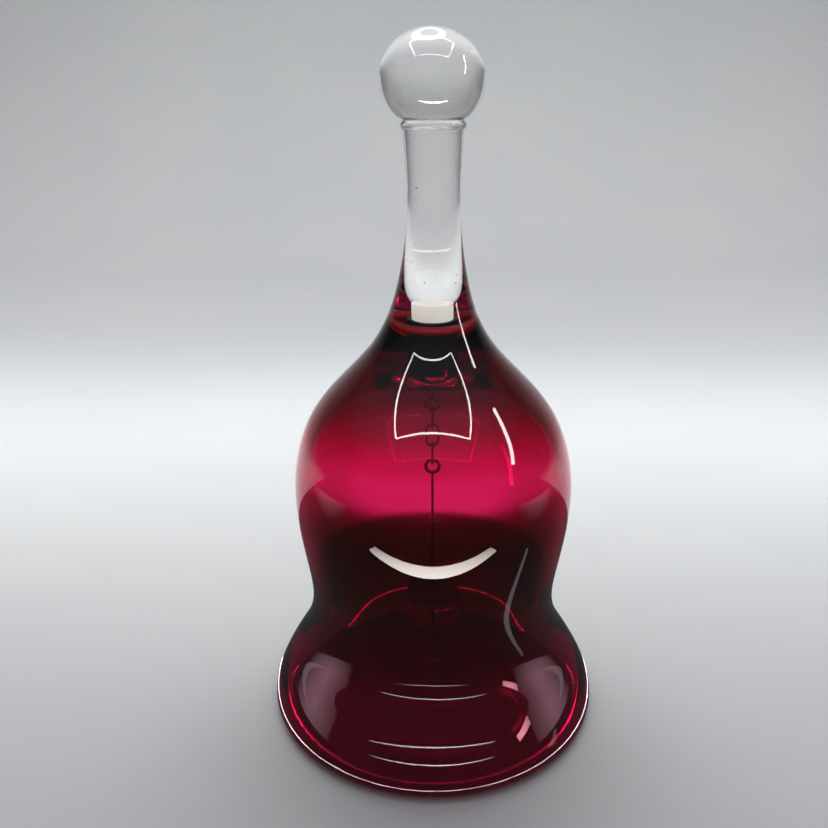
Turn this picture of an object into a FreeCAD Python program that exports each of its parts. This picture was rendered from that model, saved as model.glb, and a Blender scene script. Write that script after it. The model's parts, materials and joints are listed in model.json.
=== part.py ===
import FreeCAD, Part
import math
import os

# Hand-blown glass table bell: ruby shell, clear handle, clapper on a short chain.
# Millimetres. The origin is the centre of the rim plane and +Z runs up the handle.

Vec = FreeCAD.Vector
AXIS = Vec(0, 0, 1)

# ---- overall sizes
TOTAL_H = 150.0          # rim plane to the top of the ball
LIP_R = 38.3             # widest radius of the lip
BULB_R = 31.05           # widest radius of the bulb
BULB_Z = 56.5
WAIST_R = 28.15          # narrow waist between bulb and skirt
WAIST_Z = 27.5

# ---- lip: rounded outside, ground flat underneath
LIP_Z = 2.7              # height of the widest point of the lip
FOOT_OUT = 36.9          # flat ring the bell stands on
FOOT_IN = 36.0
LIP_IN = 35.2            # inside radius just above the lip
LIP_IN_Z = 1.0

# ---- crown: where the clear handle is melted into the ruby shell
JOIN_Z = 93.6
JOIN_R = 9.85
RUBY_EDGE_R = 9.4        # the ruby is a thin skin over clear glass at the join
CORE_Z = 83.5            # bottom of the clear core inside the ruby crown
ROOF_Z = 81.3            # roof of the inside, flat round the anchor
ROOF_R = 6.5
BORE_R = 3.8
BORE_TOP = 92.8
PLUG_R = 3.0             # narrower end of the bore, filled with cement
PLUG_TOP = 96.4

# ---- handle and ball
STEM_R = 5.45
STEM_Z = 118.6
NECK_Z = 133.0           # groove between collar and ball
NECK_R = 6.0
COLLAR_R = 6.45
BALL_R = 10.4
BALL_HALF_H = 9.4
BALL_Z = TOTAL_H - BALL_HALF_H

# ---- anchor in the crown
FLANGE_R = 5.6
FLANGE_T = 1.2
EYE_R = 1.5              # centre-line radius of both eyes
EYE_WIRE = 0.4
EYE_SHANK_TOP = 87.0

# ---- chain
LINKS = 3
LINK_WIRE = 0.3
LINK_IN_W = 2.0          # clear width inside a link
PITCH = 4.2
PLAY = 0.12              # free space where two links bear on each other
HOOK_Z = 74.2            # centre of the wire the first link hangs on

# ---- clapper
CLAPPER_R = 7.2
CLAPPER_Z = 24.0
PIN_R = 0.3
CAP_R = 2.3
CAP_T = 1.0
BEAD_R = 1.3
SEAT_R = 1.6             # flat on the ball under the cap and over the bead


def spline(points, start=None, end=None):
    curve = Part.BSplineCurve()
    pts = [Vec(r, 0, z) for r, z in points]
    if start is None:
        curve.interpolate(pts)
    else:
        curve.interpolate(Points=pts, InitialTangent=Vec(*start), FinalTangent=Vec(*end))
    return curve.toShape()


def line(a, b):
    return Part.makeLine(Vec(a[0], 0, a[1]), Vec(b[0], 0, b[1]))


def arc(a, mid, b):
    return Part.Arc(Vec(a[0], 0, a[1]), Vec(mid[0], 0, mid[1]), Vec(b[0], 0, b[1])).toShape()


def round_to_wall(foot_r, wall_r, wall_z):
    """Arc from the ground foot up to a wall, upright where it meets the wall."""
    run = foot_r - wall_r
    radius = (run ** 2 + wall_z ** 2) / (2 * abs(run))
    centre = wall_r + math.copysign(radius, run)
    side = math.copysign(1, -run)
    half = math.atan2(wall_z, side * (foot_r - centre)) / 2
    mid = (centre + side * radius * math.cos(half), wall_z - radius * math.sin(half))
    return arc((foot_r, 0), mid, (wall_r, wall_z))


def turned(edges):
    """Solid made by turning a closed outline, drawn in the XZ plane, about Z."""
    face = Part.Face(Part.Wire(Part.__sortEdges__(edges)))
    solid = face.revolve(Vec(0, 0, 0), AXIS, 360)
    if solid.Volume < 0:
        solid.reverse()
    return solid


def core_side():
    """Face where clear and ruby glass are fused, from the join down to the bore."""
    return spline([(RUBY_EDGE_R, JOIN_Z), (10.6, 90.4), (12.4, 87.6), (12.9, 85.6),
                   (10.6, 84.0), (BORE_R, CORE_Z)], start=(0.4, 0, -1), end=(-1, 0, 0))


def bell_body():
    """Ruby shell: dome skirt, waist, bulb and a thick solid crown."""
    outer = spline(
        [(LIP_R, LIP_Z), (36.9, 8.0), (33.6, 14.0), (29.9, 20.5), (WAIST_R, WAIST_Z),
         (29.1, 38.5), (30.6, 48.0), (BULB_R, BULB_Z), (29.9, 64.5), (27.2, 71.5),
         (22.4, 78.0), (16.6, 84.0), (12.2, 89.3), (JOIN_R, JOIN_Z)],
        start=(0, 0, 1), end=(-0.46, 0, 1))
    inner = spline(
        [(LIP_IN, LIP_IN_Z), (34.2, 7.0), (30.9, 13.3), (27.4, 20.0), (25.8, 27.5),
         (26.7, 38.5), (28.1, 48.0), (28.5, 56.5), (27.0, 63.5), (23.8, 69.8),
         (18.2, 75.6), (11.8, 79.8), (ROOF_R, ROOF_Z)],
        start=(0, 0, 1), end=(-1, 0, 0))
    lip_out = round_to_wall(FOOT_OUT, LIP_R, LIP_Z)
    lip_in = round_to_wall(FOOT_IN, LIP_IN, LIP_IN_Z)
    return turned([
        lip_out, outer,
        line((JOIN_R, JOIN_Z), (RUBY_EDGE_R, JOIN_Z)),
        core_side(),
        line((BORE_R, CORE_Z), (BORE_R, ROOF_Z)),
        line((BORE_R, ROOF_Z), (ROOF_R, ROOF_Z)),
        inner, lip_in,
        line((FOOT_IN, 0), (FOOT_OUT, 0)),
    ])


def handle_stem():
    """Clear flared handle; its foot fills the crown inside the ruby skin."""
    side = spline(
        [(JOIN_R, JOIN_Z), (8.0, 98.8), (6.65, 105.0), (5.8, 111.5), (STEM_R, STEM_Z),
         (5.75, 126.0), (NECK_R, 131.4)],
        start=(-0.46, 0, 1), end=(0.05, 0, 1))
    return turned([
        side,
        arc((NECK_R, 131.4), (COLLAR_R, 132.2), (NECK_R, NECK_Z)),
        line((NECK_R, NECK_Z), (0, NECK_Z)),
        line((0, NECK_Z), (0, PLUG_TOP)),
        line((0, PLUG_TOP), (PLUG_R, PLUG_TOP)),
        line((PLUG_R, PLUG_TOP), (PLUG_R, BORE_TOP)),
        line((PLUG_R, BORE_TOP), (BORE_R, BORE_TOP)),
        line((BORE_R, BORE_TOP), (BORE_R, CORE_Z)),
        core_side(),
        line((RUBY_EDGE_R, JOIN_Z), (JOIN_R, JOIN_Z)),
    ])


def ball_finial():
    """Slightly flattened clear ball, cut flat where it sits on the collar."""
    low = math.asin((NECK_Z - BALL_Z) / BALL_HALF_H)
    steps = [low + (math.pi / 2 - low) * i / 8 for i in range(9)]
    oval = [(BALL_R * math.cos(a), BALL_Z + BALL_HALF_H * math.sin(a)) for a in steps]
    start = (-BALL_R * math.sin(low), 0, BALL_HALF_H * math.cos(low))
    return turned([
        spline(oval, start=start, end=(-1, 0, 0)),
        line((0, TOTAL_H), (0, NECK_Z)),
        line((0, NECK_Z), oval[0]),
    ])


def crown_cement():
    """White cement in the narrow end of the bore, on top of the ferrule."""
    return Part.makeCylinder(PLUG_R, PLUG_TOP - BORE_TOP, Vec(0, 0, BORE_TOP), AXIS)


def crown_ferrule():
    """Dark metal ferrule with a flange against the roof of the inside."""
    barrel = Part.makeCylinder(BORE_R, BORE_TOP - ROOF_Z, Vec(0, 0, ROOF_Z), AXIS)
    flange = Part.makeCylinder(FLANGE_R, FLANGE_T, Vec(0, 0, ROOF_Z - FLANGE_T), AXIS)
    rim = [e for e in flange.Edges if abs(e.BoundBox.ZMin - (ROOF_Z - FLANGE_T)) < 0.01
           and e.BoundBox.XLength > FLANGE_R]
    flange = flange.makeFillet(0.5, rim)
    low = ROOF_Z - FLANGE_T - 1
    hole = Part.makeCylinder(EYE_WIRE, EYE_SHANK_TOP - low, Vec(0, 0, low), AXIS)
    return barrel.fuse(flange).cut(hole).removeSplitter()


def eye(ring_z, shank_low, shank_high, across):
    """Wire ring with a straight shank; across is the axis through the ring."""
    ring = Part.makeTorus(EYE_R, EYE_WIRE, Vec(0, 0, ring_z), across)
    shank = Part.makeCylinder(EYE_WIRE, shank_high - shank_low, Vec(0, 0, shank_low), AXIS)
    return ring.fuse(shank).removeSplitter()


def hanger_eye():
    """Fixed eye; the first link hangs on the wire that runs along X at HOOK_Z."""
    ring_z = HOOK_Z + EYE_R
    return eye(ring_z, ring_z + EYE_R - 0.2, EYE_SHANK_TOP, Vec(0, 1, 0))


def chain_link(number):
    """Oval link; odd links lie in the YZ plane and even links in the XZ plane."""
    hook = HOOK_Z - PITCH * (number - 1)
    carrier = EYE_WIRE if number == 1 else LINK_WIRE
    top = hook + carrier + PLAY + LINK_WIRE
    bottom = HOOK_Z - PITCH * number
    half = LINK_IN_W / 2 + LINK_WIRE
    high = top - half
    low = bottom + half
    path = Part.Wire([
        Part.makeLine(Vec(half, 0, low), Vec(half, 0, high)),
        Part.Arc(Vec(half, 0, high), Vec(0, 0, top), Vec(-half, 0, high)).toShape(),
        Part.makeLine(Vec(-half, 0, high), Vec(-half, 0, low)),
        Part.Arc(Vec(-half, 0, low), Vec(0, 0, bottom), Vec(half, 0, low)).toShape(),
    ])
    ring = Part.Wire(Part.makeCircle(LINK_WIRE, Vec(half, 0, low), AXIS))
    link = path.makePipeShell([ring], True, False)
    if number % 2:
        link.rotate(Vec(0, 0, 0), AXIS, 90)
    return link


def clapper_ring_z():
    """Height of the clapper eye, which hangs on the last link."""
    last = HOOK_Z - PITCH * LINKS
    return last + LINK_WIRE + PLAY + EYE_WIRE - EYE_R


def clapper_pin():
    """Long straight wire with an eye on top; it carries the clapper ball."""
    ring_z = clapper_ring_z()
    ring = Part.makeTorus(EYE_R, EYE_WIRE, Vec(0, 0, ring_z), Vec(0, 1, 0))
    if LINKS % 2 == 0:
        ring.rotate(Vec(0, 0, 0), AXIS, 90)
    low = CLAPPER_Z - CLAPPER_R - 0.4
    pin = Part.makeCylinder(PIN_R, ring_z - EYE_R - low, Vec(0, 0, low), AXIS)
    return ring.fuse(pin).removeSplitter()


def clapper_ball():
    """Glass ball, bored for the pin and dimpled flat under the cap and bead."""
    ball = Part.makeSphere(CLAPPER_R, Vec(0, 0, CLAPPER_Z))
    flat = math.sqrt(CLAPPER_R ** 2 - SEAT_R ** 2)
    keep = Part.makeCylinder(CLAPPER_R + 1, 2 * flat, Vec(0, 0, CLAPPER_Z - flat), AXIS)
    hole = Part.makeCylinder(PIN_R, 40, Vec(0, 0, CLAPPER_Z - 20), AXIS)
    return ball.common(keep).cut(hole)


def clapper_cap():
    """Small brass washer, domed, between the eye and the ball."""
    base = CLAPPER_Z + math.sqrt(CLAPPER_R ** 2 - SEAT_R ** 2)
    cap = turned([
        line((PIN_R, base), (CAP_R, base)),
        arc((CAP_R, base), (CAP_R - 0.35, base + 0.7 * CAP_T), (CAP_R - 1.2, base + CAP_T)),
        line((CAP_R - 1.2, base + CAP_T), (PIN_R, base + CAP_T)),
        line((PIN_R, base + CAP_T), (PIN_R, base)),
    ])
    return cap


def clapper_bead():
    """Brass bead riveted on the lower end of the pin."""
    top = CLAPPER_Z - math.sqrt(CLAPPER_R ** 2 - SEAT_R ** 2)
    bead = Part.makeSphere(BEAD_R, Vec(0, 0, top - 0.9))
    trim = Part.makeCylinder(BEAD_R + 1, 3, Vec(0, 0, top), AXIS)
    pin = Part.makeCylinder(PIN_R, 40, Vec(0, 0, CLAPPER_Z - CLAPPER_R - 0.4), AXIS)
    return bead.cut(trim).cut(pin)


os.makedirs("parts", exist_ok=True)

made = {
    "bell_body": bell_body(),
    "handle_stem": handle_stem(),
    "ball_finial": ball_finial(),
    "crown_cement": crown_cement(),
    "crown_ferrule": crown_ferrule(),
    "hanger_eye": hanger_eye(),
    "clapper_pin": clapper_pin(),
    "clapper_cap": clapper_cap(),
    "clapper_ball": clapper_ball(),
    "clapper_bead": clapper_bead(),
}
for n in range(1, LINKS + 1):
    made["chain_link_%d" % n] = chain_link(n)

for name, shape in made.items():
    shape.exportStep("parts/%s.step" % name)
    box = shape.BoundBox
    print("%-15s valid %s solids %d vol %8.1f  z %.2f..%.2f  x %.2f..%.2f" % (
        name, shape.isValid(), len(shape.Solids), shape.Volume,
        box.ZMin, box.ZMax, box.XMin, box.XMax))
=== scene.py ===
import json
import math
import random

import bpy
import numpy as np
from mathutils import Matrix, Vector

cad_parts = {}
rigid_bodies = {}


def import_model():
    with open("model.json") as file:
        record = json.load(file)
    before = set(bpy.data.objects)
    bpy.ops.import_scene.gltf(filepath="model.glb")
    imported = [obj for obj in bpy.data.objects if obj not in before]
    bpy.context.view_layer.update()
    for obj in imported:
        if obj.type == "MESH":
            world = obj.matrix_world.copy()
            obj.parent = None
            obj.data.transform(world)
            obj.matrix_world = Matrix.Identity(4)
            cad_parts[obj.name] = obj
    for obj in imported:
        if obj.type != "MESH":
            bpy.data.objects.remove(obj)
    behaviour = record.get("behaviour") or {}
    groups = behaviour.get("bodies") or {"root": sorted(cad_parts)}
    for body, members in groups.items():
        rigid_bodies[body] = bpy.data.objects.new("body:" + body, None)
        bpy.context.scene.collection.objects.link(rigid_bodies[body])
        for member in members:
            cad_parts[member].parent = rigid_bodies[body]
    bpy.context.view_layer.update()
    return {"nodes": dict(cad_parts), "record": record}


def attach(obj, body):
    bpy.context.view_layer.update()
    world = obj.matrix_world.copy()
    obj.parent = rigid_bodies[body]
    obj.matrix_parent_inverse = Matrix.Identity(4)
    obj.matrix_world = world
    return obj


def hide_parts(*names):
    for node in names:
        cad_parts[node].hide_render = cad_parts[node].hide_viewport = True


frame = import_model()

# The glass is drawn in millimetres. The stage, the lamps and the camera are in metres.
MM = 0.001
TURN = 2 * math.pi
rng = random.Random(7)
scene = bpy.context.scene


# ---------------------------------------------------------------- outlines
def smooth(points, per, start=None, end=None):
    """Points on the smooth curve through the given ones, per of them to a stretch. The curve leaves
    in direction start and arrives in direction end; without one, that end is free."""
    p = np.array(points, float)
    reach = np.linalg.norm(np.diff(p, axis=0), axis=1)
    last = len(p) - 1
    a, b = np.zeros((last + 1, last + 1)), np.zeros((last + 1, 2))
    for i in range(1, last):
        before, after = reach[i - 1], reach[i]
        a[i, i - 1:i + 2] = 1 / before, 2 / before + 2 / after, 1 / after
        b[i] = 3 * ((p[i + 1] - p[i]) / after ** 2 + (p[i] - p[i - 1]) / before ** 2)
    for row, beside, direction in ((0, 1, start), (last, last - 1, end)):
        a[row, row] = 1
        if direction is not None:
            b[row] = np.array(direction, float) / np.linalg.norm(direction)
        else:
            first = min(row, beside)
            a[row, row], a[row, beside] = 2, 1
            b[row] = 3 * (p[first + 1] - p[first]) / reach[first]
    slope = np.linalg.solve(a, b)
    out = []
    for i in range(last):
        for t in np.arange(per) / per:
            out.append((2 * t ** 3 - 3 * t ** 2 + 1) * p[i] + (3 * t ** 2 - 2 * t ** 3) * p[i + 1]
                       + reach[i] * ((t ** 3 - 2 * t ** 2 + t) * slope[i] + (t ** 3 - t ** 2) * slope[i + 1]))
    return [tuple(q) for q in out] + [tuple(p[-1])]


def arc(a, mid, b, steps=8):
    """Points on the circular arc from a through mid to b."""
    a, mid, b = (np.array(q, float) for q in (a, mid, b))
    centre = np.linalg.solve(2 * np.array([mid - a, b - a]), [mid @ mid - a @ a, b @ b - a @ a])
    radius = np.linalg.norm(a - centre)
    at_a, at_mid, at_b = (math.atan2(*(q - centre)[::-1]) for q in (a, mid, b))
    turn = (at_b - at_a) % TURN
    if (at_mid - at_a) % TURN > turn:
        turn -= TURN
    angles = [at_a + turn * i / steps for i in range(steps + 1)]
    return [tuple(centre + radius * np.array([math.cos(t), math.sin(t)])) for t in angles]


def join(*runs):
    """One outline from several runs of points, without doubled points."""
    out = []
    for run in runs:
        for q in run:
            if not out or math.hypot(q[0] - out[-1][0], q[1] - out[-1][1]) > 1e-4:
                out.append(tuple(q))
    return out


def inset(outline, depth):
    """The closed outline moved inwards by depth, along its own normals."""
    p = np.array(outline)
    along = np.roll(p, -1, 0) - np.roll(p, 1, 0)
    along /= np.linalg.norm(along, axis=1)[:, None]
    twice_area = np.sum(p[:, 0] * np.roll(p[:, 1], -1) - np.roll(p[:, 0], -1) * p[:, 1])
    inward = np.stack([-along[:, 1], along[:, 0]], 1) * math.copysign(1, twice_area)
    return [tuple(q) for q in p + inward * depth]


# ---------------------------------------------------------------- meshes
def lathe(outline, around, closed=False, shape=None):
    """Vertices and faces of the (radius, height) outline turned about Z.
    shape(radius, angle, height) gives the hand-made radius and the sideways shift in X."""
    verts, faces, rings = [], [], []
    for r, z in outline:
        first = len(verts)
        if r < 1e-6:
            verts.append((0.0, 0.0, z))
            rings.append([first])
            continue
        for k in range(around):
            t = TURN * k / around
            made_r, shift = shape(r, t, z) if shape else (r, 0.0)
            verts.append((made_r * math.cos(t) + shift, made_r * math.sin(t), z))
        rings.append(range(first, len(verts)))
    pairs = list(zip(rings, rings[1:]))
    if closed:
        pairs.append((rings[-1], rings[0]))
    for low, high in pairs:
        for k in range(around):
            j = (k + 1) % around
            if len(low) == 1:
                faces.append((low[0], high[j], high[k]))
            elif len(high) == 1:
                faces.append((low[k], low[j], high[0]))
            else:
                faces.append((low[k], low[j], high[j], high[k]))
    return verts, faces


def bubble(centre, radius, stretch, rings=8, around=14):
    """A small air bubble in glass: a closed skin whose faces look inwards."""
    tilts = [math.pi * i / rings for i in range(1, rings)]
    outline = [(radius * math.sin(a), -radius * stretch * math.cos(a)) for a in tilts]
    verts, faces = lathe([(0.0, -radius * stretch), *outline, (0.0, radius * stretch)], around)
    moved = [tuple(v + c for v, c in zip(vert, centre)) for vert in verts]
    return moved, [face[::-1] for face in faces]


def mesh_object(name, verts, faces, material):
    """A smooth-shaded mesh object of one material, in the scene."""
    mesh = bpy.data.meshes.new(name)
    mesh.from_pydata(verts, [], faces)
    mesh.shade_smooth()
    mesh.materials.append(material)
    obj = bpy.data.objects.new(name, mesh)
    scene.collection.objects.link(obj)
    return obj


def glass_piece(name, parts, material, stands_for=()):
    """One piece that rides on the bell, from several (vertices, faces) in millimetres."""
    verts, faces = [], []
    for part_verts, part_faces in parts:
        base = len(verts)
        verts += [Vector(v) * MM for v in part_verts]
        faces += [tuple(i + base for i in face) for face in part_faces]
    obj = mesh_object(name, verts, faces, material)
    obj.data.set_sharp_from_angle(angle=math.radians(35))
    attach(obj, "bell")
    if stands_for:
        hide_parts(*stands_for)


# ---------------------------------------------------------------- materials
class Nodes:
    """Short way to build a node material."""

    def __init__(self, name):
        self.material = bpy.data.materials.new(name)
        self.material.use_nodes = True
        self.tree = self.material.node_tree
        self.shader = self.tree.nodes["Principled BSDF"]
        self.output = self.tree.nodes["Material Output"]
        self.place = self.tree.nodes.new("ShaderNodeTexCoord").outputs["Object"]

    def node(self, kind, inputs, **settings):
        """A new node; each input is given a socket to link to or a plain value."""
        made = self.tree.nodes.new(kind)
        for key, value in settings.items():
            setattr(made, key, value)
        for key, value in inputs.items():
            if isinstance(value, bpy.types.NodeSocket):
                self.tree.links.new(value, made.inputs[key])
            else:
                made.inputs[key].default_value = value
        return made

    def set(self, **values):
        """Sockets of the shader itself, such as Base_Color."""
        for key, value in values.items():
            socket = self.shader.inputs[key.replace("_", " ")]
            if isinstance(value, bpy.types.NodeSocket):
                self.tree.links.new(value, socket)
            else:
                socket.default_value = value

    def noise(self, scale, detail=3.0, rough=0.5, stretch=(1, 1, 1)):
        place = self.node("ShaderNodeMapping", {"Vector": self.place, "Scale": stretch}).outputs[0]
        return self.node("ShaderNodeTexNoise", {"Vector": place, "Scale": scale, "Detail": detail,
                                                "Roughness": rough}).outputs["Fac"]

    def ramp(self, value, stops):
        """Colour by value, from (position, colour) stops in rising order."""
        made = self.node("ShaderNodeValToRGB", {"Fac": value})
        ramp = made.color_ramp
        while len(ramp.elements) < len(stops):
            ramp.elements.new(0.5)
        for element, (at, colour) in zip(ramp.elements, stops):
            element.position = at
            element.color = (*colour, 1)
        return made.outputs["Color"]

    def span(self, value, low, high, to_low, to_high):
        return self.node("ShaderNodeMapRange", {"Value": value, "From Min": low, "From Max": high,
                                                "To Min": to_low, "To Max": to_high}).outputs[0]

    def mix(self, factor, one, two, how="MIX"):
        made = self.node("ShaderNodeMix", {0: factor, 6: one, 7: two}, data_type="RGBA")
        made.blend_type = how
        return made.outputs[2]

    def math(self, how, *values):
        return self.node("ShaderNodeMath", dict(enumerate(values)), operation=how).outputs[0]

    def axes(self):
        return self.node("ShaderNodeSeparateXYZ", {"Vector": self.place}).outputs

    def bump(self, value, strength, distance):
        self.set(Normal=self.node("ShaderNodeBump", {"Height": value, "Strength": strength,
                                                     "Distance": distance}).outputs[0])

    def absorb(self, colour, density):
        volume = self.node("ShaderNodeVolumeAbsorption", {"Color": (*colour, 1), "Density": density})
        self.tree.links.new(volume.outputs[0], self.output.inputs["Volume"])


# Share of red, green and blue that the ruby's face lets through, by height in metres. The pale pink stops are
# the ruby's own tint. The darker stops in the skirt, the waist and the crown are painted shade, and the
# greyer purple of the crown is a painted sheen.
SKIRT_TINT_AND_SHADE = [(0.0, (0.60, 0.26, 0.46)), (0.018, (0.56, 0.23, 0.41)), (0.024, (0.42, 0.14, 0.25))]
CROWN_TINT_SHADE_AND_SHEEN = [(0.0665, (1.00, 0.66, 0.80)), (0.0720, (0.79, 0.31, 0.51)), (0.0745, (0.66, 0.29, 0.42)),
              (0.0775, (0.62, 0.40, 0.52)), (0.0830, (0.58, 0.47, 0.56)), (0.0918, (0.48, 0.44, 0.48))]
BACK_TINT_AND_SHADE = SKIRT_TINT_AND_SHADE + [(0.0355, (0.42, 0.13, 0.21)), (0.0375, (0.97, 0.62, 0.76)),
                          (0.0500, (1.00, 0.68, 0.81))] + CROWN_TINT_SHADE_AND_SHEEN
# Painted shade: on the side that faces the camera, the dark band round the waist reaches up over the bulb.
FRONT_TINT_AND_SHADE = SKIRT_TINT_AND_SHADE + [(0.0400, (0.31, 0.09, 0.15)), (0.0520, (0.33, 0.10, 0.17)),
                           (0.0595, (0.52, 0.18, 0.28)), (0.0622, (0.98, 0.62, 0.77))] + CROWN_TINT_SHADE_AND_SHEEN
CLEAR_TINT = [(0.0920, (0.99, 0.97, 0.97)), (0.0940, (0.99, 0.99, 0.985))]
TINT_TOP = 0.1              # the tint is the same from this height up


def ruby_tint_and_painted_shade(n, above=()):
    """Ruby tint by height, with painted shade: deepest in the crown, the waist and the skirt. The painted
    dark band round the waist climbs higher in front, on the side that faces the camera, and less so at the
    sides."""
    place = n.axes()
    z = n.span(place["Z"], 0.0, TINT_TOP, 0.0, 1.0)
    back, front = (n.ramp(z, [(height / TINT_TOP, colour) for height, colour in [*tint, *above]])
                   for tint in (BACK_TINT_AND_SHADE, FRONT_TINT_AND_SHADE))
    aside = n.math("ABSOLUTE", place["X"])
    # Where the front's painted shade applies: towards the camera, and eased off at the sides.
    front_shade_mask = n.span(place["Y"], 0.002, 0.024, 1.0, 0.0)
    front_shade_eased_aside = n.span(aside, 0.021, 0.030, 1.0, 0.25)
    return n.mix(n.math("MULTIPLY", front_shade_mask, front_shade_eased_aside), back, front)


def glass_skin():
    """Outer glass of handle, ball and shell: clear above the join, ruby below it."""
    n = Nodes("glass_skin")
    cloud = n.ramp(n.noise(38, 3.0, 0.55, (1, 1, 0.6)), [(0.3, (0.95, 0.94, 0.95)), (0.7, (1.0, 1.0, 1.0))])
    # The ruby part of the tint carries painted shade in the skirt, the waist and the crown, and a painted
    # sheen on the crown.
    n.set(Base_Color=n.mix(1.0, ruby_tint_and_painted_shade(n, CLEAR_TINT), cloud, "MULTIPLY"), IOR=1.5,
          Roughness=n.span(n.noise(260), 0.3, 0.7, 0.0, 0.010), Transmission_Weight=1.0,
          Specular_IOR_Level=0.38)
    n.bump(n.noise(55, 1.5, 0.4, (1, 1, 0.4)), 0.07, 0.0006)
    n.absorb((0.96, 0.97, 0.965), 12.0)
    return n.material


def ruby_depth():
    """The ruby layer under the skin: it bends no light, and only its depth and its tint colour it. The tint
    carries the painted shade and the painted sheen.
    """
    n = Nodes("ruby_depth")
    n.set(Base_Color=ruby_tint_and_painted_shade(n), Roughness=0.0, IOR=1.0, Transmission_Weight=1.0)
    n.absorb((0.955, 0.06, 0.58), 520.0)
    return n.material


def ruby_edge():
    """Thin thread of ruby inside the clear glass, which catches the light as a red ring."""
    n = Nodes("ruby_edge")
    # The thread is red in the middle. Its near-black top and bottom are painted shade round the red line.
    red = n.ramp(n.span(n.axes()["Z"], 0.0910, 0.0930, 0.0, 1.0),
                 [(0.0, (0.05, 0.001, 0.002)), (0.55, (0.90, 0.010, 0.03)), (1.0, (0.02, 0.001, 0.001))])
    uneven = n.ramp(n.noise(300), [(0.3, (0.75, 0.75, 0.75)), (0.7, (1.0, 1.0, 1.0))])
    n.set(Base_Color=n.mix(1.0, red, uneven, "MULTIPLY"), Roughness=0.4, IOR=1.5)
    return n.material


def clapper_glass():
    """Pale green-white glass of the clapper's ball, rubbed a little."""
    n = Nodes("clapper_glass")
    n.set(Base_Color=n.ramp(n.noise(160), [(0.3, (0.90, 0.95, 0.93)), (0.7, (0.98, 0.99, 0.98))]),
          Roughness=n.span(n.noise(400), 0.3, 0.7, 0.005, 0.04), IOR=1.5, Transmission_Weight=1.0)
    n.bump(n.noise(120), 0.10, 0.0004)
    return n.material


def metal(name, dark, light, polished, dull):
    """Metal with a fine grain: colour from dark to light, roughness from polished to dull."""
    n = Nodes(name)
    n.set(Base_Color=n.ramp(n.noise(315, 5, 0.6), [(0.32, dark), (0.68, light)]),
          Roughness=n.span(n.noise(900, 4, 0.6), 0.3, 0.7, polished, dull), Metallic=1.0)
    n.bump(n.noise(1350, 3, 0.6), 0.15, 0.00005)
    return n.material


def cement():
    """Chalky cement. Its weak glow stands for the light that the real clear handle brings down to it."""
    n = Nodes("cement")
    n.set(Base_Color=n.ramp(n.noise(700, 5, 0.7), [(0.3, (0.86, 0.83, 0.75)), (0.7, (0.97, 0.96, 0.91))]),
          Roughness=n.span(n.noise(500), 0.3, 0.7, 0.7, 0.95), Emission_Strength=0.34,
          Emission_Color=(1.0, 0.95, 0.86, 1))
    n.bump(n.noise(900, 6, 0.7), 0.6, 0.0002)
    return n.material


def pale_floor():
    """Plain pale studio floor."""
    n = Nodes("pale_floor")
    n.set(Base_Color=n.ramp(n.noise(6, 4, 0.6), [(0.3, (0.70, 0.725, 0.728)), (0.7, (0.74, 0.762, 0.762))]),
          Roughness=0.85)
    n.bump(n.noise(900, 3, 0.6), 0.05, 0.0002)
    return n.material


def pale_wall():
    """Evenly lit pale wall, which needs no lamp of its own."""
    n = Nodes("pale_wall")
    n.set(Base_Color=(0, 0, 0, 1), Emission_Strength=0.5,
          Emission_Color=n.ramp(n.noise(2), [(0.3, (0.94, 0.97, 0.98)), (0.7, (1.0, 1.0, 1.0))]))
    return n.material


def floor_glow():
    """Light of the thin line on the floor."""
    n = Nodes("floor_glow")
    n.set(Base_Color=(0, 0, 0, 1), Emission_Color=(1.0, 0.72, 0.82, 1), Emission_Strength=13.0)
    return n.material


# ---------------------------------------------------------------- the glass
# Points are (radius, height). The bore is 0.03 mm narrower than what fills it, so no two faces coincide.
JOIN = (9.85, 93.6)         # the clear handle meets the ruby crown
UPHILL = (-0.46, 1)         # direction of the outline there
RIM = (38.3, 2.7)           # widest point
FOOT_OUT, FOOT_IN = (36.9, 0), (36.0, 0)    # the flat ring that the bell stands on
MOUTH = (35.2, 1.0)         # inner edge of the lip
ROOF = (6.5, 81.3)          # flat under the bore
PLUG_R, PLUG_TOP = 2.97, 96.37      # narrow end of the bore, which holds the cement
BORE_R, BORE_TOP = 3.77, 92.77      # wide end, which holds the ferrule
CORE_FOOT = (3.8, 83.5)     # the clear core ends here, inside the ruby crown
RUBY_TOP = 91.8             # the ruby skin thins out to nothing here
COLLAR = (6.0, 131.4)       # foot of the collar under the ball
BALL_R, BALL_HALF, BALL_Z = 10.4, 9.4, 140.6    # the ball is slightly flat
BALL_FOOT = 133.0           # the ball's curve is reckoned from here, inside the groove
GROOVE_TOP = 133.5          # and shows from here
HANDLE_FOOT, TOP = 95.0, 150.0      # the handle and the ball lean a little between these
SHELL_LOW, SHELL_HIGH = 4.0, 92.0   # the shell's wall is wavy between these
SHELL_FADE = 12.0           # over this height the waves come in
LAYER_DEPTH = 0.04          # the ruby layer lies this far under the skin
THREAD_R, THREAD_Z = 6.3, 92.0      # middle of the red thread's section
THREAD_WIDE, THREAD_HIGH = 0.3, 1.0     # half its width and height
SKIN_SIDES, LAYER_SIDES = 264, 240
SEEDS = 26
SEED_LOW, SEED_HIGH = 99, 146
CLEAR_HEIGHTS = [99, 112, 126, 133, 140, 146]   # rough outline of the clear glass, for the seeds
CLEAR_RADII = [7.5, 5.6, 5.6, 6.0, 9.8, 7.0]


def part_way(past, over):
    """0 up to the start, 1 from the end, and in proportion between them."""
    return min(1.0, max(0.0, past / over))


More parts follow.
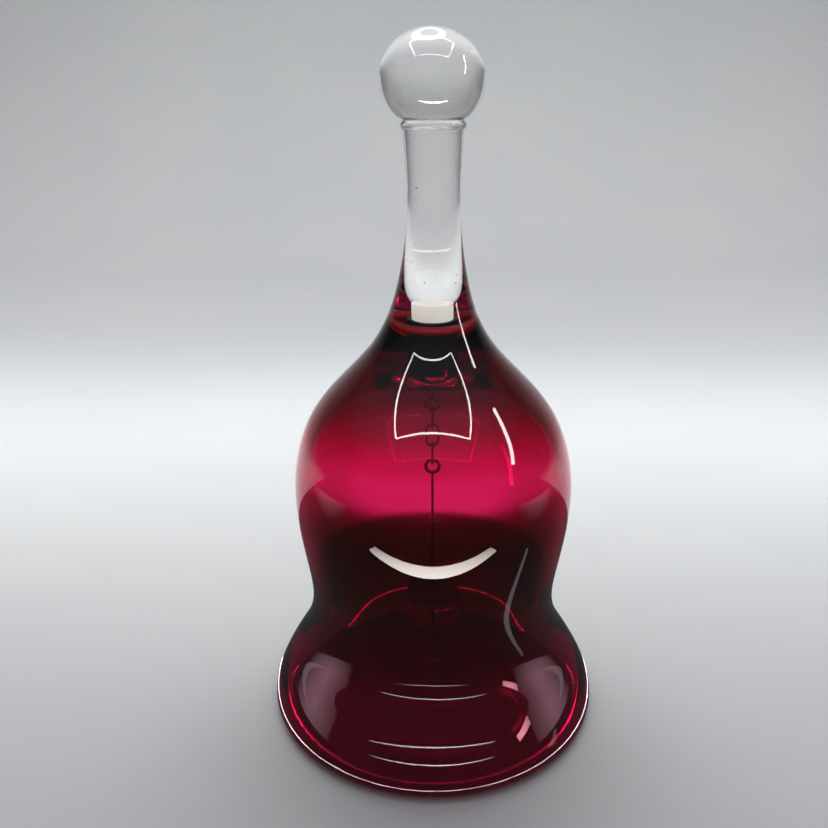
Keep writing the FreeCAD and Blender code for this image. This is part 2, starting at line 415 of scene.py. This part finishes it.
def hand(r, t, z):
    """Hand-blown glass is never quite round, and the pulled handle bends a little."""
    shell = part_way(z - SHELL_LOW, SHELL_FADE) * part_way(SHELL_HIGH - z, SHELL_FADE)
    up = part_way(z - HANDLE_FOOT, TOP - HANDLE_FOOT)
    wave = shell * (0.09 * math.sin(2 * t + 0.06 * z) + 0.05 * math.sin(3 * t - 0.11 * z + 1.3))
    wave += 0.05 * math.sin(2 * t + 0.2 * z + 0.7) * part_way(up, 0.2) * part_way(r, 4.0)
    return r + wave, 0.32 * math.sin(math.pi * up) - 0.30 * up ** 2


def ball_outline():
    """Flattened ball from inside the groove to its top."""
    first = math.asin((BALL_FOOT - BALL_Z) / BALL_HALF)
    tilts = [first + (math.pi / 2 - first) * i / 44 for i in range(44)]
    points = [(BALL_R * math.cos(a), BALL_Z + BALL_HALF * math.sin(a)) for a in tilts]
    return [q for q in points if q[1] > GROOVE_TOP] + [(0.0, TOP)]


def seed_bubbles():
    """Small air bubbles, well inside the handle and the ball."""
    seeds = []
    for _ in range(SEEDS):
        z = rng.uniform(SEED_LOW, SEED_HIGH)
        reach = 0.8 * np.interp(z, CLEAR_HEIGHTS, CLEAR_RADII)
        t, r = rng.uniform(0, TURN), reach * math.sqrt(rng.random())
        seeds.append(bubble((r * math.cos(t), r * math.sin(t), z), rng.uniform(0.05, 0.13),
                            rng.uniform(1, 2.2)))
    return seeds


outer = smooth([RIM, (36.9, 8.0), (33.6, 14.0), (29.9, 20.5), (28.15, 27.5), (29.1, 38.5), (30.6, 48.0),
                (31.05, 56.5), (29.9, 64.5), (27.2, 71.5), (22.4, 78.0), (16.6, 84.0), (12.2, 89.3),
                JOIN], 9, (0, 1), UPHILL)
inner = smooth([MOUTH, (34.2, 7.0), (30.9, 13.3), (27.4, 20.0), (25.8, 27.5), (26.7, 38.5), (28.1, 48.0),
                (28.5, 56.5), (27.0, 63.5), (23.8, 69.8), (18.2, 75.6), (11.8, 79.8),
                ROOF], 9, (0, 1), (-1, 0))[::-1]
handle = smooth([JOIN, (8.0, 98.8), (6.65, 105.0), (5.8, 111.5), (5.45, 118.6), (5.75, 126.0),
                 COLLAR], 9, UPHILL, (0.05, 1))
core = smooth([(9.4, 93.6), (10.6, 90.4), (12.4, 87.6), (12.9, 85.6), (10.6, 84.0),
               CORE_FOOT], 6, (0.4, -1), (-1, 0))
lip_out = arc(FOOT_OUT, (37.93, 1.18), RIM)
lip_in = arc(MOUTH, (35.42, 0.36), FOOT_IN)
collar = arc(COLLAR, (6.45, 132.2), (6.05, 132.9))
groove = smooth([(6.05, 132.9), (5.98, 133.05), (6.35, 133.35)], 4)
bore = [(0.0, PLUG_TOP), (PLUG_R, PLUG_TOP), (PLUG_R, BORE_TOP), (BORE_R, BORE_TOP), (BORE_R, ROOF[1]), ROOF]

skin = join(bore, inner, lip_in, lip_out, outer, handle, collar, groove, ball_outline())
layer = join(lip_out, [q for q in outer if q[1] < RUBY_TOP], [q for q in core if q[1] < RUBY_TOP],
             [(CORE_FOOT[0], ROOF[1]), ROOF], inner, lip_in)[:-1]
thread = [(THREAD_R + THREAD_WIDE * math.cos(a), THREAD_Z + THREAD_HIGH * math.sin(a))
          for a in (TURN * i / 16 for i in range(16))]
glass_piece("blown_glass", [lathe(skin, SKIN_SIDES, False, hand), *seed_bubbles()], glass_skin(),
            ["bell_body", "handle_stem", "ball_finial"])
glass_piece("ruby_layer", [lathe(inset(layer, LAYER_DEPTH), LAYER_SIDES, True, hand)], ruby_depth())
glass_piece("ruby_edge", [lathe(thread, LAYER_SIDES, True, hand)], ruby_edge())

# ---------------------------------------------------------------- anchor, chain and clapper
finish = {"steel_wire": metal("steel_wire", (0.60, 0.59, 0.57), (0.82, 0.81, 0.79), 0.22, 0.42),
          "brass_trim": metal("brass_trim", (0.48, 0.32, 0.12), (0.80, 0.60, 0.30), 0.16, 0.38),
          "dark_ferrule": metal("dark_ferrule", (0.010, 0.009, 0.010), (0.035, 0.030, 0.032), 0.35, 0.6),
          "cement": cement(), "clapper_glass": clapper_glass()}
slots = {part["node"]: part["material_slot"] for part in frame["record"]["subparts"]}
for name, obj in frame["nodes"].items():
    if not obj.hide_render:
        obj.data.materials.clear()
        obj.data.materials.append(finish[slots[name]])

# ---------------------------------------------------------------- stage
STAGE_HALF = 1.6            # half the floor's width
BACK_TOP = 1.6
FLOOR_NEAR, FLOOR_SPLIT = -1.2, 0.08    # near edge of the floor, and of the part that glass mirrors
CURVE_Y, CURVE_R = 0.55, 0.35       # the floor bends up into the back wall from here
WALL_R, WALL_LOW, WALL_HIGH, WALL_SIDES = 2.4, -0.6, 2.4, 96
GLOW_Z = 0.1 * MM           # the line of light lies just above the floor


def stage_piece(name, verts, faces, material):
    obj = mesh_object(name, verts, faces, material)
    return obj


def strip(name, verts, material):
    """Stage piece from vertices that come in pairs, one pair to each rung of the strip."""
    faces = [(i, i + 1, i + 3, i + 2) for i in range(0, len(verts) - 2, 2)]
    return stage_piece(name, verts, faces, material)


def build_floor():
    """Pale floor that bends up into a back wall. The near part doesn't show in glossy reflections,
    so the lower glass stays dark and its edges clear."""
    bend = [math.pi * i / 24 for i in range(1, 13)]
    far = [(FLOOR_SPLIT, 0.0), (CURVE_Y, 0.0)]
    far += [(CURVE_Y + CURVE_R * math.sin(a), CURVE_R - CURVE_R * math.cos(a)) for a in bend]
    far += [(CURVE_Y + CURVE_R, BACK_TOP)]
    near = [(FLOOR_NEAR, 0.0), (FLOOR_SPLIT, 0.0)]
    sides = (-STAGE_HALF, STAGE_HALF)
    pale = pale_floor()
    strip("studio_sweep", [(x, y, z) for y, z in far for x in sides], pale)
    floor = strip("studio_floor", [(x, y, z) for y, z in near for x in sides], pale)
    floor.visible_glossy = False


def build_wall():
    """Round pale wall for the other views. It lights nothing."""
    turns = [TURN * k / WALL_SIDES for k in range(WALL_SIDES)]
    verts = [(WALL_R * math.cos(t), WALL_R * math.sin(t), z) for z in (WALL_LOW, WALL_HIGH) for t in turns]
    beside = [(k + 1) % WALL_SIDES for k in range(WALL_SIDES)]
    faces = [(k, j, WALL_SIDES + j, WALL_SIDES + k) for k, j in enumerate(beside)]
    wall = stage_piece("studio_wall", verts, faces, pale_wall())
    wall.visible_glossy = False
    wall.visible_diffuse = False
    wall.visible_shadow = False


def build_glow():
    """Thin uneven line of light on the floor round the foot, in millimetres. Only the glass sees it."""
    line = np.array(smooth([(-33.5, 17.0), (-31.0, 20.5), (-26.0, 31.0), (-20.0, 42.0), (-11.0, 47.5),
                            (0.0, 48.5), (12.0, 48.0), (21.0, 44.0), (26.5, 34.0), (31.0, 23.0),
                            (36.5, 15.5), (41.5, 7.0), (42.0, -5.0), (38.0, -18.0), (30.0, -29.5),
                            (16.0, -38.8), (0.0, -42.0), (-16.0, -38.8), (-30.0, -29.5), (-38.0, -18.0),
                            (-42.0, -5.0), (-41.5, 7.0), (-36.5, 14.0), (-33.5, 17.0)], 12))
    along = np.gradient(line, axis=0)
    across = np.stack([-along[:, 1], along[:, 0]], 1) / np.linalg.norm(along, axis=1)[:, None]
    verts = []
    for point, normal in zip(line, across):
        left, right = rng.uniform(0.2, 0.5), rng.uniform(0.2, 0.5)
        verts += [(*((point + normal * left) * MM), GLOW_Z), (*((point - normal * right) * MM), GLOW_Z)]
    glow = strip("studio_glow", verts, floor_glow())
    glow.visible_camera = False
    glow.visible_diffuse = False
    glow.visible_shadow = False
    return glow


build_floor()
build_wall()
glow = build_glow()

bell_parts = bpy.data.collections.new("bell_parts")
for obj in scene.objects:
    if obj.type == "MESH" and not obj.name.startswith("studio_"):
        bell_parts.objects.link(obj)
glow.light_linking.receiver_collection = bell_parts

# ---------------------------------------------------------------- lamps
WHITE = (1.0, 1.0, 1.0)
WARM = (1.0, 0.92, 0.85)
PINK = (1.0, 0.62, 0.78)
ROSE = (1.0, 0.33, 0.42)
FRAME_Z = 0.72              # height of the light frame overhead
FRAME_X = 0.365             # its sides
FRAME_NEAR, FRAME_FAR = -0.41, 0.15
FRAME_MID = (FRAME_NEAR + FRAME_FAR) / 2
FRAME_BAR = 0.020
FRAME_LEAN = 9.1            # its sides splay towards the camera
SIDE_X = 0.14              # place of the two small cards beside the skirt


def area(name, at, towards, size, power, lean=0.0, spread=180, colour=WHITE, seen=True):
    """Rectangular lamp, turned by lean about its own axis. One that is seen in the glass lights the
    bell alone; one that isn't is soft light for the whole stage."""
    data = bpy.data.lights.new(name, "AREA")
    data.shape = "RECTANGLE"
    data.size, data.size_y = size
    data.energy = power
    data.color = colour
    data.spread = math.radians(spread)
    lamp = bpy.data.objects.new(name, data)
    scene.collection.objects.link(lamp)
    aim = (Vector(towards) - Vector(at)).to_track_quat("-Z", "Y").to_matrix().to_4x4()
    lamp.matrix_world = Matrix.Translation(at) @ aim @ Matrix.Rotation(math.radians(lean), 4, "Z")
    lamp.visible_camera = False
    lamp.visible_glossy = seen
    lamp.visible_transmission = seen
    if seen:
        lamp.light_linking.receiver_collection = bell_parts


area("soft_top", (0.0, 0.40, 1.0), (0, 0.25, 0), (1.3, 0.9), 3.8, seen=False)
area("soft_back", (0.0, 0.30, 0.30), (0, 0.85, 0.02), (1.4, 0.2), 0.8, spread=120, seen=False)
area("soft_floor", (0.0, 0.17, 0.28), (0, 0.17, 0), (1.5, 0.05), 1.1, spread=110, seen=False)
area("frame_near", (0.0, FRAME_NEAR, FRAME_Z), (0, FRAME_NEAR, 0), (0.82, FRAME_BAR), 1.05)
area("frame_far", (0.0, FRAME_FAR, FRAME_Z), (0, FRAME_FAR, 0), (0.64, FRAME_BAR), 0.85)
for name, x, lean in (("frame_left", -FRAME_X, -FRAME_LEAN), ("frame_right", FRAME_X, FRAME_LEAN)):
    area(name, (x, FRAME_MID, FRAME_Z), (x, FRAME_MID, 0), (FRAME_BAR, 0.57), 0.72, lean=lean)
for name, x in (("side_left", -SIDE_X), ("side_right", SIDE_X)):
    area(name, (x, -0.02, 0.020), (0, -0.02, 0.012), (0.10, 0.04), 0.0018, spread=50, colour=PINK)
area("spark_right", (0.128, -0.082, 0.030), (0.026, -0.026, 0.012), (0.009, 0.030), 0.00036,
     lean=-75, spread=30, colour=ROSE)
area("floor_right", (0.068, -0.030, 0.001), (0.068, -0.030, 1), (0.055, 0.004), 0.0006)
area("slit_right", (0.53, -0.09, 0.39), (0, 0, 0.14), (0.036, 0.39), 0.8, lean=-30)
area("front_low", (0.0, -0.15, 0.022), (0, -0.08, -0.078), (0.28, 0.002), 0.038, spread=120)
area("front_mid", (0.0, -0.15, 0.048), (0, -0.08, -0.045), (0.24, 0.002), 0.012, spread=120)
area("front_card", (0.0, -0.084, 0.0015), (0, -0.084, 1), (0.158, 0.014), 0.12, spread=125, colour=WARM)


# ---------------------------------------------------------------- surroundings and camera
def build_world():
    """Dim room: dark below, a little lighter overhead."""
    world = bpy.data.worlds.new("studio")
    world.use_nodes = True
    tree = world.node_tree
    place = tree.nodes.new("ShaderNodeTexCoord").outputs["Generated"]
    split = tree.nodes.new("ShaderNodeSeparateXYZ")
    fade = tree.nodes.new("ShaderNodeValToRGB")
    stops = ((0.40, (0.07, 0.07, 0.075, 1)), (0.85, (0.31, 0.29, 0.325, 1)))
    for element, (at, colour) in zip(fade.color_ramp.elements, stops):
        element.position = at
        element.color = colour
    tree.links.new(place, split.inputs[0])
    tree.links.new(split.outputs["Z"], fade.inputs[0])
    tree.links.new(fade.outputs[0], tree.nodes["Background"].inputs["Color"])
    scene.world = world


def build_camera(place, yaw, pitch, roll):
    """Camera at place that looks along +Y, turned by yaw, lowered by pitch and rolled, in degrees."""
    yaw, pitch, roll = (math.radians(angle) for angle in (yaw, pitch, roll))
    ahead = Vector((math.sin(yaw) * math.cos(pitch), math.cos(yaw) * math.cos(pitch), -math.sin(pitch)))
    right = Vector((math.cos(yaw), -math.sin(yaw), 0))
    up = right.cross(ahead)
    rolled_right = math.cos(roll) * right + math.sin(roll) * up
    rolled_up = math.cos(roll) * up - math.sin(roll) * right
    data = bpy.data.cameras.new("camera")
    data.lens, data.sensor_width = 36.0, 36.0
    data.clip_start = 0.01
    camera = bpy.data.objects.new("camera", data)
    scene.collection.objects.link(camera)
    axes = Matrix((rolled_right, rolled_up, -ahead)).transposed().to_4x4()
    camera.matrix_world = Matrix.Translation(place) @ axes
    scene.camera = camera


build_world()
build_camera(place=(0, -0.172, 0.1345), yaw=-1.36, pitch=20.0, roll=-0.46)

# Light passes through many layers of clear and ruby glass.
scene.view_settings.view_transform = "Standard"
scene.cycles.max_bounces = 48
scene.cycles.transmission_bounces = 40
scene.cycles.glossy_bounces = 12
scene.cycles.transparent_max_bounces = 16
scene.cycles.sample_clamp_indirect = 8.0
